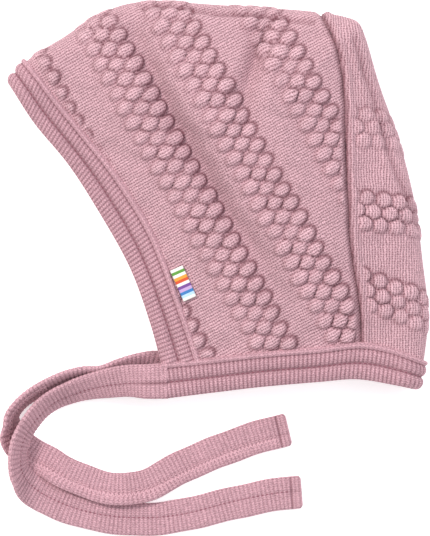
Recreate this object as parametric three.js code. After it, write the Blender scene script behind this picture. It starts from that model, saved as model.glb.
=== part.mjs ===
// Knitted baby bonnet with two ties, lying on its side: the opening points to -X, the crown to +Y.
// Two layers of one hollow shell lie over each other, joined by the folds along the crown and the back.
// Millimetres, +Z up. The lower layer rests on z = 0.

import * as THREE from 'three';

// Driving dimensions
const wall = 2.2; // thickness of the knitted panels
const bandWidth = 15; // ribbed bindings, from the free edge to the lip
const bandAtFold = 13; // their width where they turn round a fold
const bandHalf = 3.1; // half thickness of a binding at its rolls
const tuck = 4; // how far a panel's edge sits inside a binding
const fit = 0.3; // clearance between pieces that lie on each other
const slotFit = 0.6; // clearance of a panel's edge in its binding
const mouthHeight = 17.5; // middle of the upper layer along the face and neck edges
const loftHeight = 33; // middle of the upper layer at its highest
const foldRadius = 9; // rounding of the crown and back folds, seen from above
const chinStepBack = 2.6; // the side panel's corner stands this far back from the face binding's slot
const seamGap = 1; // gap between the side panel and the back panel
const riseFromEdge = 70; // distance over which the upper layer climbs from an open edge
const riseFromFold = 48; // distance over which it climbs from a fold
const settle = 12; // distance over which the lower layer sinks from a binding to the floor
const bubbleRise = 0.9; // how far the bands of bubble stitch stand proud
const bubbleHalf = 8.2; // half width of such a band
const bubbleShoulder = 3;
const tieWidth = 14.3;
const tieThickness = 3;
const tieSteps = 38;
const tabThickness = 0.9;
const toOrigin = { x: 0.12, y: 1.94 }; // puts the middle of the bonnet, without its ties, over the origin

// Reads a table as objects with named columns
const table = (columns, lines) =>
  lines.map((line) => Object.fromEntries(columns.map((name, i) => [name, line[i]])));

// Outlines seen from above. Face and neck lines run from the chin corner towards the fold, where they end.
const faceFreeEdge = table(['x', 'y'], [
  [-24.5, -71.2], [-29.2, -54.8], [-37.8, -31.2], [-52.5, -4.9], [-64.5, 13.5], [-79.1, 31.2],
]);
const faceLip = table(['x', 'y'], [
  [-7.6, -69.3], [-15.5, -46.7], [-27.5, -15.3], [-42.1, 8.4], [-57.2, 27.3], [-71.8, 44.9],
]);
const neckFreeEdge = table(['x', 'y'], [
  [-24, -87.4], [-0.4, -84.5], [18.1, -82.3], [42.6, -80.2], [59.8, -79], [75.2, -81.4],
]);
const neckLip = table(['x', 'y'], [
  [-24.4, -72], [-6.9, -70.1], [22.8, -66.4], [42.6, -64.7], [61.5, -62.8], [74.4, -65.2],
]);
const outerFold = table(['x', 'y'], [
  [-90.3, 47.9], [-82.1, 58.3], [-66.7, 68.6], [-51.2, 78.9], [-37.8, 82.8], [-22.8, 83.6], [-5.6, 81.9],
  [18.1, 79.8], [39.6, 78], [54.6, 75.5], [59.6, 73.6], [62.8, 68.6], [69.2, 47.9], [78.3, 22.1],
  [84.7, -3.7], [88.2, -29.5], [90.4, -50], [88.7, -69.9], [85.6, -83.6],
]);
const backSeam = table(['x', 'y'], [
  [61.6, -71], [61.1, -50.1], [57.2, -24.3], [55.5, 2.4], [54.2, 39.8], [52.7, 56.8], [49, 68.4], [44.2, 78.4],
]);
const crownSeamStart = { x: 48.6, y: 69.4 }; // the seam runs over the crown fold from here

// Soft valleys in the upper layer: one row for each bend, with its depth
const foldValleys = [
  { // long valley beside the second bubble band
    width: 5.5,
    bends: table(['x', 'y', 'depth'], [
      [-41, 74, 1.5], [-35.3, 60, 3], [-13.8, 18.7, 3.8], [9.5, -19.1, 3], [31, -49.7, 0.4],
    ]),
  },
  { // short valley that runs down from the crown
    width: 6,
    bends: table(['x', 'y', 'depth'], [[18.5, 74, 2], [13.8, 58.3, 3.2], [9, 42, 2.4], [11.6, 28.2, 0.3]]),
  },
];

// Middle lines of the raised bands of bubble stitch
const sideBubbleBands = table(['x0', 'y0', 'x1', 'y1'], [
  [-46.4, 62.1, 26.7, -62.1], [-21.1, 77.6, 45.6, -41.1], [19.8, 73.3, 52.5, 11.4],
]);
const backBubbleBands = table(['x0', 'y0', 'x1', 'y1'], [
  [55, 29, 74, 27], [55.5, -5.8, 82.6, -8.4], [57.6, -38.5, 89, -50.1],
]);

// Binding section: two rolls with a groove between them, and the slot that holds a panel's edge
const slotHalf = wall / 2 + slotFit;
const slotEnd = bandWidth - tuck - fit;
const bindingSection = table(['across', 'off'], [
  [0, 0], [0.7, 1.9], [2.2, 2.8], [3.8, bandHalf], [5.6, 2.7], [6.9, 1.9], [8.2, 2.7], [10.4, bandHalf],
  [13, 2.9], [bandWidth, 2.4], [bandWidth, slotHalf], [slotEnd, slotHalf], [slotEnd, -slotHalf],
  [bandWidth, -slotHalf], [bandWidth, -2.4], [12.6, -bandHalf], [2.6, -bandHalf], [0.7, -1.9],
]);

// Tie section: a flat strap with rounded edges
const tieHalf = tieWidth / 2;
const tieSection = table(['across', 'off'], [
  [-1, -0.45], [-0.86, -1], [0.86, -1], [1, -0.45], [1, 0.45], [0.86, 1], [-0.86, 1], [-1, 0.45],
]).map((point) => ({ across: point.across * tieHalf, off: (point.off * tieThickness) / 2 }));

// Tie routes: middle of the strap, and how many degrees its right-hand edge leans up, looking ahead
const nearTieRoute = table(['x', 'y', 'z', 'lean'], [
  [-24.9, -79.9, 17.4, 0], [-30, -79.9, 17, 4], [-36.5, -79.8, 15.2, 12], [-43, -80.2, 12.8, 22],
  [-49.9, -80.8, 10.6, 32], [-56.8, -81.9, 9, 42], [-63.6, -83.6, 8.2, 50], [-70.2, -86.3, 8, 55],
  [-76, -90, 8.6, 58], [-80.8, -94.6, 10, 60], [-84.4, -99.6, 11.4, 61], [-86.8, -105, 12, 62],
  [-87.8, -110.6, 11.8, 62], [-87.6, -116, 10.8, 58], [-85.8, -121.4, 8.4, 44], [-81.6, -126, 4.2, 18],
  [-74.6, -129.8, 2, 3], [-65.6, -133.2, 1.7, 0], [-55.9, -135.7, 1.6, 0], [-44.7, -137.6, 1.6, 0],
  [-33.1, -138.2, 1.6, 0], [-21.5, -137.6, 1.6, 0], [-11.6, -135.9, 1.6, 0], [-2.1, -133.5, 1.6, 0],
  [7.7, -130.9, 1.6, 0], [18.1, -128.8, 1.6, 0], [27.5, -127.3, 1.6, 0], [36.1, -126.6, 1.6, 0],
]);
const farTieRoute = table(['x', 'y', 'z', 'lean'], [
  [-25, -79.7, 3.1, 0], [-28.6, -79.5, 3.2, 6], [-33.5, -77.2, 4.6, 28], [-39.6, -74.4, 6.8, 50],
  [-45.6, -73.9, 7.6, 60], [-51.6, -74.8, 7.8, 63], [-58.5, -75.6, 7.9, 64], [-65.4, -77.2, 7.9, 64],
  [-72.2, -80.2, 7.8, 63], [-79.1, -83.7, 7.6, 60], [-84.6, -87.6, 7.4, 58], [-88.2, -92.2, 7, 54],
  [-88.8, -97.5, 6, 42], [-88, -102.6, 3.6, 16], [-85, -106.8, 1.8, 0], [-79.6, -109.9, 1.8, 0],
  [-73.4, -112.9, 3, 9], [-67.4, -116.3, 4.6, 14], [-60, -120.2, 5, 14], [-51.6, -123.2, 5, 14],
  [-44.7, -124.4, 5, 14], [-37.8, -124.3, 4.8, 13], [-30.5, -123.2, 4.4, 11], [-22.8, -120.4, 3.2, 7],
  [-15.9, -117.2, 2, 2], [-7.3, -113.3, 1.6, 0], [1.3, -109.6, 1.6, 0], [10.3, -106.2, 1.6, 0],
  [19.8, -103.4, 1.6, 0], [30.5, -100.8, 1.6, 0],
]);

// Striped tab: corners seen from above, along the lip and away from it
const tabCorner = { x: -20.6, y: -32.4 };
const tabAlong = { x: 5.9, y: -13.2 };
const tabAway = { x: 5.4, y: 2.4 };

// Curves and distances seen from above
const curveOf = (points) =>
  new THREE.CatmullRomCurve3(points.map((p) => new THREE.Vector3(p.x, p.y, 0)), false, 'centripetal');

function shifted(points, distance) {
  return points.map((point, i) => {
    const before = points[Math.max(i - 1, 0)];
    const after = points[Math.min(i + 1, points.length - 1)];
    const dx = after.x - before.x;
    const dy = after.y - before.y;
    const length = Math.hypot(dx, dy);
    return { x: point.x + (dy / length) * distance, y: point.y - (dx / length) * distance };
  });
}

function distanceTo(samples, point) {
  const line = new THREE.Line3();
  const nearest = new THREE.Vector3();
  let best = Infinity;
  for (let i = 0; i + 1 < samples.length; i += 1) {
    line.set(samples[i], samples[i + 1]).closestPointToPoint(point, true, nearest);
    best = Math.min(best, nearest.distanceTo(point));
  }
  return best;
}

function nearestOn(curve, point, steps = 400) {
  let best = 0;
  let distance = Infinity;
  for (let i = 0; i <= steps; i += 1) {
    const reach = curve.getPointAt(i / steps).distanceTo(point);
    if (reach < distance) {
      distance = reach;
      best = i / steps;
    }
  }
  return best;
}

// Where two curves come nearest: the share of the way along each of them
function crossing(first, second, steps = 300) {
  let found = { on: 0, across: 0, distance: Infinity };
  for (let i = 0; i <= steps; i += 1) {
    const point = first.getPointAt(i / steps);
    const across = nearestOn(second, point, steps);
    const distance = second.getPointAt(across).distanceTo(point);
    if (distance < found.distance) found = { on: i / steps, across, distance };
  }
  return found;
}

const smooth = (x) => THREE.MathUtils.smoothstep(x, 0, 1);
const sampleCount = 60;
const foldCurve = curveOf(shifted(outerFold, wall / 2));
const foldLength = foldCurve.getLength();
const faceFreeCurve = curveOf([...faceFreeEdge, foldCurve.getPointAt(0)]);
const faceLipCurve = curveOf([...faceLip, foldCurve.getPointAt(bandAtFold / foldLength)]);
const neckFreeCurve = curveOf([...neckFreeEdge, foldCurve.getPointAt(1)]);
const neckLipCurve = curveOf([...neckLip, foldCurve.getPointAt(1 - bandAtFold / foldLength)]);
const faceSamples = faceFreeCurve.getSpacedPoints(sampleCount);
const neckSamples = neckFreeCurve.getSpacedPoints(sampleCount);
const foldSamples = foldCurve.getSpacedPoints(2 * sampleCount);

// Heights of the two layers' middle surfaces over a point seen from above
function valleyDepth(point) {
  let depth = 0;
  for (const valley of foldValleys) {
    let weight = 0;
    for (let i = 0; i + 1 < valley.bends.length; i += 1) {
      const from = valley.bends[i];
      const to = valley.bends[i + 1];
      const span = new THREE.Vector2(to.x - from.x, to.y - from.y);
      const along = ((point.x - from.x) * span.x + (point.y - from.y) * span.y) / span.lengthSq();
      const k = THREE.MathUtils.clamp(along, 0, 1);
      const away = Math.hypot(point.x - from.x - k * span.x, point.y - from.y - k * span.y);
      const here = THREE.MathUtils.lerp(from.depth, to.depth, k);
      weight = Math.max(weight, here * Math.exp(-((away / valley.width) ** 2)));
    }
    depth += weight;
  }
  return depth;
}

function upperHeight(point) {
  const rise = smooth(distanceTo(faceSamples, point) / riseFromEdge) ** 0.8
    * smooth(distanceTo(neckSamples, point) / riseFromEdge) ** 0.8
    * smooth(distanceTo(foldSamples, point) / riseFromFold) ** 0.8;
  return mouthHeight + (loftHeight - mouthHeight) * rise - valleyDepth(point);
}

function lowerHeight(point) {
  const fromEdge = Math.min(distanceTo(faceSamples, point), distanceTo(neckSamples, point));
  return bandHalf - (bandHalf - wall / 2) * smooth((fromEdge - bandWidth - tuck) / settle);
}

// A patch of the shell between an open edge (t = 0) and a fold (t = 1), seen from above
function fourSided(left, right, open, fold) {
  return (s, t) => {
    const sides = new THREE.Vector3().lerpVectors(left(t), right(t), s);
    const ends = new THREE.Vector3().lerpVectors(open(s), fold(s), t);
    const low = new THREE.Vector3().lerpVectors(open(0), open(1), s);
    const high = new THREE.Vector3().lerpVectors(fold(0), fold(1), s);
    return sides.add(ends).sub(low.lerp(high, t));
  };
}

function lengthOf(patch, s, steps = 10) {
  let length = 0;
  for (let i = 0; i < steps; i += 1) {
    length += patch(s, i / steps).distanceTo(patch(s, (i + 1) / steps));
  }
  return length;
}

// Middle of the shell: w runs from 2 at the upper layer's open edge, over the fold at 0, to -2 below
function shellPoint(patch, s, w) {
  const length = lengthOf(patch, s);
  const radius = Math.min(foldRadius, length);
  const turn = THREE.MathUtils.clamp(w, -1, 1) * (Math.PI / 2);
  const straight = Math.max(Math.abs(w) - 1, 0) * (length - radius);
  const point = patch(s, 1 - (radius * (1 - Math.cos(turn)) + straight) / length);
  const upper = upperHeight(point);
  const lower = lowerHeight(point);
  return point.setZ((upper + lower) / 2 + (Math.sin(turn) * (upper - lower)) / 2);
}

const nudge = 0.004;
const sideCheck = { s: 0.5, w: 1.5 };

function shellNormal(patch, s, w) {
  const alongW = shellPoint(patch, s, w + nudge).sub(shellPoint(patch, s, w - nudge));
  const alongS = shellPoint(patch, s + nudge, w).sub(shellPoint(patch, s - nudge, w));
  return alongW.cross(alongS).normalize();
}

function shellPlacer(patch) {
  const facing = Math.sign(shellNormal(patch, sideCheck.s, sideCheck.w).z);
  return (s, w, off) => {
    const normal = shellNormal(patch, s, w).multiplyScalar(facing * off);
    return shellPoint(patch, s, w).add(normal);
  };
}

// Stations over the upper layer, round the fold and back along the lower layer
function shellStations(upperCount, foldCount, lowerCount) {
  const stations = [];
  for (let i = 0; i < upperCount; i += 1) stations.push(2 - i / upperCount);
  for (let i = 0; i < foldCount; i += 1) stations.push(1 - (2 * i) / foldCount);
  for (let i = 0; i <= lowerCount; i += 1) stations.push(-1 - i / lowerCount);
  return stations;
}

// Closed body from rings of points with the same count, with triangulated ends
function bodyFromRings(rings, endTriangles) {
  const count = rings[0].length;
  const index = [];
  for (let i = 0; i + 1 < rings.length; i += 1) {
    for (let j = 0; j < count; j += 1) {
      const a = i * count + j;
      const b = i * count + ((j + 1) % count);
      index.push(a, b, a + count, b, b + count, a + count);
    }
  }
  const last = (rings.length - 1) * count;
  for (const [a, b, c] of endTriangles) index.push(a, c, b, last + a, last + b, last + c);
  const geometry = new THREE.BufferGeometry().setFromPoints(rings.flat());
  geometry.setIndex(signedVolume(rings.flat(), index) < 0 ? index.reverse() : index);
  geometry.computeVertexNormals();
  return geometry;
}

function signedVolume(points, index) {
  const face = new THREE.Vector3();
  let volume = 0;
  for (let i = 0; i < index.length; i += 3) {
    face.crossVectors(points[index[i + 1]], points[index[i + 2]]);
    volume += points[index[i]].dot(face) / 6;
  }
  return volume;
}

function sectionTriangles(section) {
  const contour = section.map((p) => new THREE.Vector2(p.across, p.off));
  const triangles = THREE.ShapeUtils.triangulateShape(contour, []);
  return THREE.ShapeUtils.isClockWise(contour) ? triangles.map(([a, b, c]) => [a, c, b]) : triangles;
}

// Knitted panel: a wall of even thickness over a patch, thicker outside where bubble bands cross it
function bandRelief(bands, point) {
  let relief = 0;
  for (const band of bands) {
    const length = Math.hypot(band.x1 - band.x0, band.y1 - band.y0);
    const across = (point.x - band.x0) * (band.y1 - band.y0) - (point.y - band.y0) * (band.x1 - band.x0);
    relief = Math.max(relief, smooth((bubbleHalf - Math.abs(across / length)) / bubbleShoulder));
  }
  return bubbleRise * relief;
}

function knittedPanel(patch, bands, columns, stations) {
  const place = shellPlacer(patch);
  const rings = stations.map((w) => {
    const outer = [];
    const inner = [];
    for (let i = 0; i <= columns; i += 1) {
      const s = i / columns;
      const relief = w > 0 ? bandRelief(bands, shellPoint(patch, s, w)) * Math.min(w, 1) : 0;
      const inBinding = Math.abs(w) > 1.9 ? 0 : 1;
      outer.push(place(s, w, wall / 2 + relief * inBinding));
      inner.push(place(s, w, -wall / 2));
    }
    return outer.concat(inner.reverse());
  });
  const ends = [];
  const ringCount = 2 * (columns + 1);
  for (let i = 0; i < columns; i += 1) {
    const below = ringCount - 1 - i;
    ends.push([i, i + 1, below], [i + 1, below - 1, below]);
  }
  return bodyFromRings(rings, ends);
}

// Binding: the section swept along a strip between its free edge and its lip
function binding(freeCurve, lipCurve, stations) {
  const strip = (s, t) => freeCurve.getPointAt(t).lerp(lipCurve.getPointAt(t), s);
  const place = shellPlacer((s, t) => strip(s, THREE.MathUtils.clamp(t, 0, 1)));
  const rings = stations.map((w) => bindingSection.map((p) => place(p.across / bandWidth, w, p.off)));
  return bodyFromRings(rings, sectionTriangles(bindingSection));
}

// Tie: the strap section swept along its route, leaning as the route says
function tieStrap(route) {
  const middle = new THREE.CatmullRomCurve3(route.map((p) => new THREE.Vector3(p.x, p.y, p.z)));
  const leaning = new THREE.CatmullRomCurve3(route.map((p) => new THREE.Vector3(p.lean, 0, 0)));
  const up = new THREE.Vector3(0, 0, 1);
  const rings = [];
  for (let i = 0; i <= tieSteps; i += 1) {
    const t = i / tieSteps;
    const lean = THREE.MathUtils.degToRad(leaning.getPoint(t).x);
    const ahead = middle.getTangent(t);
    const right = new THREE.Vector3().crossVectors(ahead, up).normalize();
    const top = new THREE.Vector3().crossVectors(right, ahead);
    const across = right.clone().multiplyScalar(Math.cos(lean)).addScaledVector(top, Math.sin(lean));
    const off = top.clone().multiplyScalar(Math.cos(lean)).addScaledVector(right, -Math.sin(lean));
    const centre = middle.getPoint(t);
    rings.push(tieSection.map((p) =>
      centre.clone().addScaledVector(across, p.across).addScaledVector(off, p.off)));
  }
  return bodyFromRings(rings, sectionTriangles(tieSection));
}

// Striped tab: a folded ribbon lying on the side panel, its edge at the lip of the face binding
function ribbonTab() {
  const lengthSteps = 4;
  const rings = [];
  for (let i = 0; i <= lengthSteps; i += 1) {
    const ring = [];
    for (const [away, layer] of [[0, 0], [0.5, 0], [1, 0], [1, 1], [0.5, 1], [0, 1]]) {
      const along = i / lengthSteps;
      const point = new THREE.Vector3(
        tabCorner.x + tabAlong.x * along + tabAway.x * away,
        tabCorner.y + tabAlong.y * along + tabAway.y * away,
        0,
      );
      const base = upperHeight(point) + wall / 2 + 1.6 * fit;
      ring.push(point.setZ(base + layer * tabThickness));
    }
    rings.push(ring);
  }
  return bodyFromRings(rings, [[0, 1, 5], [1, 4, 5], [1, 2, 4], [2, 3, 4]]);
}

// Edges of the panels, hidden inside the bindings or meeting at the seam
const hidden = (bandWidth - tuck) / bandWidth;
const neckHidden = (t) => neckFreeCurve.getPointAt(t).lerp(neckLipCurve.getPointAt(t), hidden);
const neckHiddenCurve = new THREE.CatmullRomCurve3(Array.from({ length: 25 }, (_, i) => neckHidden(i / 24)));
const sideSeam = curveOf(shifted(backSeam, -seamGap / 2));
const backSeamEdge = curveOf(shifted(backSeam, seamGap / 2));
const faceHidden = (t) => faceFreeCurve.getPointAt(t).lerp(faceLipCurve.getPointAt(t), hidden);
const chinCorner = nearestOn(neckHiddenCurve, faceHidden(0).add(new THREE.Vector3(chinStepBack, -tuck, 0)));
const sideSeamFoot = crossing(sideSeam, neckHiddenCurve);
const backSeamFoot = crossing(backSeamEdge, neckHiddenCurve);

function subCurve(curve, from, to) {
  return (k) => curve.getPointAt(THREE.MathUtils.clamp(from + (to - from) * k, 0, 1));
}

const faceSide = new THREE.CatmullRomCurve3([
  neckHiddenCurve.getPointAt(chinCorner), ...Array.from({ length: 12 }, (_, i) => faceHidden((i + 1) / 12)),
]);
const foldAtFace = nearestOn(foldCurve, faceHidden(1));
const sideSeamTop = crossing(sideSeam, foldCurve);
const backSeamTop = crossing(backSeamEdge, foldCurve);
const foldAtNeck = nearestOn(foldCurve, neckHidden(1));
const crownStart = nearestOn(backSeamEdge, new THREE.Vector3(crownSeamStart.x, crownSeamStart.y, 0));

const sidePatch = fourSided(
  subCurve(faceSide, 0, 1),
  subCurve(sideSeam, sideSeamFoot.on, sideSeamTop.on),
  subCurve(neckHiddenCurve, chinCorner, sideSeamFoot.across),
  subCurve(foldCurve, foldAtFace, sideSeamTop.across),
);
const backPatch = fourSided(
  subCurve(neckHiddenCurve, backSeamFoot.across, 1),
  subCurve(backSeamEdge, crownStart, backSeamTop.on),
  subCurve(backSeamEdge, backSeamFoot.on, crownStart),
  subCurve(foldCurve, foldAtNeck, backSeamTop.across),
);

// Finishes
const bubbleKnit = () => new THREE.MeshStandardMaterial({ color: 0xc98f9f, roughness: 0.95, metalness: 0 });
const ribKnit = () => new THREE.MeshStandardMaterial({ color: 0xc58697, roughness: 0.95, metalness: 0 });
const ribbon = () => new THREE.MeshStandardMaterial({ color: 0xe8e2d6, roughness: 0.7, metalness: 0 });

const bonnet = new THREE.Group();
bonnet.position.set(toOrigin.x, toOrigin.y, 0);

function add(name, geometry, material) {
  const mesh = new THREE.Mesh(geometry, material);
  mesh.name = name;
  bonnet.add(mesh);
}

add('main_panel', knittedPanel(sidePatch, sideBubbleBands, 20, shellStations(18, 8, 8)), bubbleKnit());
add('back_panel', knittedPanel(backPatch, backBubbleBands, 22, shellStations(5, 6, 4)), bubbleKnit());
add('face_band', binding(faceFreeCurve, faceLipCurve, shellStations(12, 8, 8)), ribKnit());
add('neck_band', binding(neckFreeCurve, neckLipCurve, shellStations(12, 8, 8)), ribKnit());
add('tie_near', tieStrap(nearTieRoute), ribKnit());
add('tie_far', tieStrap(farTieRoute), ribKnit());
add('label_tab', ribbonTab(), ribbon());

export default bonnet;
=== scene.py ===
import math

import bpy
import numpy as np
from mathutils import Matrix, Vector


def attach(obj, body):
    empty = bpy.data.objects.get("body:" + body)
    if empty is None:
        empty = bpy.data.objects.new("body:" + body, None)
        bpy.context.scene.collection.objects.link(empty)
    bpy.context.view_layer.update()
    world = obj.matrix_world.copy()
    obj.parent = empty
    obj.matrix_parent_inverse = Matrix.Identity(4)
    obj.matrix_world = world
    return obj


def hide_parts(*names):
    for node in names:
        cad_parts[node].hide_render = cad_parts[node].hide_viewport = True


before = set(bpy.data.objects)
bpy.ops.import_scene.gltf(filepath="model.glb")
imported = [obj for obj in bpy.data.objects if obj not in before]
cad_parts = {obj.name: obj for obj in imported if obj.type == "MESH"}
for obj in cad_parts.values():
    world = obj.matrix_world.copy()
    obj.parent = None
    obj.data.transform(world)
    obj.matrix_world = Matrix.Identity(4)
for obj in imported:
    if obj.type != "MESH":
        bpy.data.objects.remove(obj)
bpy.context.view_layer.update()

mm = 0.001
print("frame loaded:", ", ".join(sorted(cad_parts)))

# sizes of the shell, in millimetres
shell = {
    "wall": 2.2,             # knitted panels
    "bandWidth": 15.0,       # ribbed bindings, free edge to lip
    "bandAtFold": 13.0,      # their width where they turn round a fold
    "bandHalf": 3.1,         # half thickness of a binding at its rolls
    "tuck": 4.0,             # panel edge hidden inside a binding
    "mouthHeight": 17.5,     # upper layer's middle along the open edges
    "loftHeight": 33.0,      # upper layer's middle at its highest
    "foldRadius": 9.0,
    "foldAtMost": 0.8,       # a fold's largest share of a short panel
    "riseFromEdge": 70.0,
    "riseFromFold": 48.0,
    "riseEase": 0.8,
    "settle": 12.0,          # lower layer sinks to the floor over this distance
    "chinStepBack": 2.6,     # from the face edge to the panel's corner at the chin
    "origin": (0.12, 1.94),  # moves the outlines below so that the bonnet's middle is over the origin
}

# outlines seen from above, x and y in millimetres
outlines = {
    "faceFree": [
        (-24.2, -72.9), (-29.2, -54.8), (-37.8, -31.2), (-52.5, -4.9), (-64.5, 13.5), (-79.1, 31.2),
    ],
    "faceLip": [
        (-7.1, -71.3), (-15.5, -46.7), (-27.5, -15.3), (-42.1, 8.4), (-57.2, 27.3), (-71.8, 44.9),
    ],
    "neckFree": [(-24, -87.4), (-0.4, -84.5), (18.1, -82.3), (42.6, -80.2), (59.8, -79), (75.2, -81.4)],
    "neckLip": [(-24.4, -72), (-6.9, -70.1), (22.8, -66.4), (42.6, -64.7), (61.5, -62.8), (74.4, -65.2)],
    "fold": [
        (-90.3, 47.9), (-82.1, 58.3), (-66.7, 68.2), (-51.2, 78.2), (-37.8, 82.8), (-22.8, 83.6),
        (-5.6, 82.4), (18.1, 80.8), (39.6, 79.2), (54.6, 76.8), (60.2, 74.4), (63, 68.6), (69.2, 47.9),
        (78.3, 22.1), (84.7, -3.7), (88.2, -29.5), (90.4, -50), (88.7, -69.9), (85.6, -83.6),
    ],
    "seam": [
        (61.6, -71), (61.1, -50.1), (57.2, -24.3), (55.5, 2.4), (54.2, 39.8), (52.7, 56.8), (49, 68.4),
        (44.2, 78.4),
    ],
}
crownSeamStart = (48.6, 69.4)  # from here the seam runs over the crown fold

# soft valleys in the upper layer: x, y and depth at each bend, the depth below 0 where it is a ridge
valleys = [
    {"width": 6.0, "bends": [
        (-38, 75, 1.5), (-31.6, 60, 5.4), (-10.2, 18.7, 6.6), (13, -19.1, 4.6), (33, -49.7, 0.6),
    ]},
    {"width": 5.0, "bends": [(20.5, 75, 2.4), (16, 58.3, 5.4), (11.4, 42, 4), (13.4, 28.2, 0.3)]},
    {"width": 5.0, "bends": [
        (-32, 73, -0.4), (-22, 57, -1.2), (-2, 22, -1.5), (20, -16, -1.0), (38, -46, -0.1),
    ]},
    {"width": 5.0, "bends": [(28, 70, -0.6), (23, 55, -1.4), (20, 38, -0.9), (21, 24, -0.1)]},
]
backCrease = [(57.6, 66.9), (66.2, 41.1), (73.5, 15.3), (81.7, -3.7), (87.3, -18.7)]
crownCrease = [(-32, 79.3), (-20, 79.4), (-5.6, 77.9), (18, 75.9), (41, 73.6)]


# Curves seen from above

def spline(points, perSpan=30):
    # centripetal Catmull-Rom through the points, as a dense line
    p = np.asarray(points, float)
    ends = np.vstack([2 * p[0] - p[1], p, 2 * p[-1] - p[-2]])
    k = np.linspace(0, 1, perSpan, endpoint=False)[:, None]
    pieces = []
    for i in range(len(p) - 1):
        p0, p1, p2, p3 = ends[i:i + 4]
        d0, d1, d2 = (max(np.linalg.norm(b - a), 1e-6) ** 0.5 for a, b in ((p0, p1), (p1, p2), (p2, p3)))
        t1 = ((p1 - p0) / d0 - (p2 - p0) / (d0 + d1) + (p2 - p1) / d1) * d1
        t2 = ((p2 - p1) / d1 - (p3 - p1) / (d1 + d2) + (p3 - p2) / d2) * d1
        cubic = 2 * p1 - 2 * p2 + t1 + t2
        square = -3 * p1 + 3 * p2 - 2 * t1 - t2
        pieces.append(cubic * k ** 3 + square * k ** 2 + t1 * k + p1)
    return np.vstack(pieces + [p[-1:]])


def lengthsAlong(line):
    return np.concatenate([[0], np.cumsum(np.linalg.norm(np.diff(line, axis=0), axis=1))])


def along(line, t):
    # points at shares t of the line's length
    run = lengthsAlong(line)
    at = np.clip(t, 0, 1) * run[-1]
    return np.stack([np.interp(at, run, line[:, i]) for i in range(line.shape[1])], axis=-1)


def shifted(points, distance):
    p = np.asarray(points, float)
    step = np.vstack([p[1] - p[0], p[2:] - p[:-2], p[-1] - p[-2]])
    step /= np.linalg.norm(step, axis=1)[:, None]
    return p + distance * np.stack([step[:, 1], -step[:, 0]], axis=1)


def subLine(line, start, end, count=160):
    return along(line, np.linspace(start, end, count))


def crossing(first, second):
    # shares of the way along two lines where they come nearest
    gaps = np.linalg.norm(first[:, None] - second[None], axis=2)
    i, j = np.unravel_index(np.argmin(gaps), gaps.shape)
    runA, runB = lengthsAlong(first), lengthsAlong(second)
    return runA[i] / runA[-1], runB[j] / runB[-1]


def distanceTo(line, points):
    # distance from each point to a line, in slices to spare memory
    flat = points.reshape(-1, 2)
    start, span = line[:-1], np.diff(line, axis=0)
    size = (span ** 2).sum(1)
    out = np.empty(len(flat))
    atOnce = 20000
    for i in range(0, len(flat), atOnce):
        part = flat[i:i + atOnce]
        rel = part[:, None] - start[None]
        k = np.clip((rel * span).sum(2) / size, 0, 1)
        out[i:i + atOnce] = np.sqrt(((rel - k[..., None] * span) ** 2).sum(2).min(1))
    return out.reshape(points.shape[:-1])


def smooth(x):
    x = np.clip(x, 0, 1)
    return x * x * (3 - 2 * x)


def bell(away, half):
    # 1 on a line, fading to nothing a few halves away from it
    return np.exp(-(away / half) ** 2)


ox, oy = shell["origin"]
moved = {name: [(x + ox, y + oy) for x, y in points] for name, points in outlines.items()}
foldLine = spline(shifted(moved["fold"], shell["wall"] / 2))
foldLength = lengthsAlong(foldLine)[-1]
cornerShare = shell["bandAtFold"] / foldLength
faceFree = spline(moved["faceFree"] + [tuple(foldLine[0])])
faceLip = spline(moved["faceLip"] + [tuple(along(foldLine, cornerShare))])
neckFree = spline(moved["neckFree"] + [tuple(foldLine[-1])])
neckLip = spline(moved["neckLip"] + [tuple(along(foldLine, 1 - cornerShare))])
# coarser copies for the distances
faceCoarse = subLine(faceFree, 0, 1, count=50)
neckCoarse = subLine(neckFree, 0, 1, count=50)
foldCoarse = subLine(foldLine, 0, 1, count=110)


# Heights of the two layers over a point seen from above

def valleyDepth(points):
    depth = np.zeros(points.shape[:-1])
    for valley in valleys:
        bends = np.array(valley["bends"], float)
        line = spline(bends + (ox, oy, 0), perSpan=6)
        deepest = np.zeros_like(depth)
        for a, b in zip(line[:-1], line[1:]):
            span = b[:2] - a[:2]
            k = np.clip(((points - a[:2]) * span).sum(-1) / (span @ span), 0, 1)
            away = np.linalg.norm(points - a[:2] - k[..., None] * span, axis=-1)
            here = (a[2] + (b[2] - a[2]) * k) * bell(away, valley["width"])
            deepest = np.where(np.abs(here) > np.abs(deepest), here, deepest)
        depth += deepest
    return depth


def upperHeight(points):
    rise = smooth(distanceTo(faceCoarse, points) / shell["riseFromEdge"]) ** shell["riseEase"]
    rise *= smooth(distanceTo(neckCoarse, points) / shell["riseFromEdge"]) ** shell["riseEase"]
    rise *= smooth(distanceTo(foldCoarse, points) / shell["riseFromFold"]) ** shell["riseEase"]
    loft = shell["loftHeight"] - shell["mouthHeight"]
    return shell["mouthHeight"] + loft * rise - valleyDepth(points)


def lowerHeight(points):
    fromEdge = np.minimum(distanceTo(faceCoarse, points), distanceTo(neckCoarse, points))
    drop = shell["bandHalf"] - shell["wall"] / 2
    settled = smooth((fromEdge - shell["bandWidth"] - shell["tuck"]) / shell["settle"])
    return shell["bandHalf"] - drop * settled


# Patches of the shell between an open edge (t = 0) and a fold (t = 1)

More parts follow.
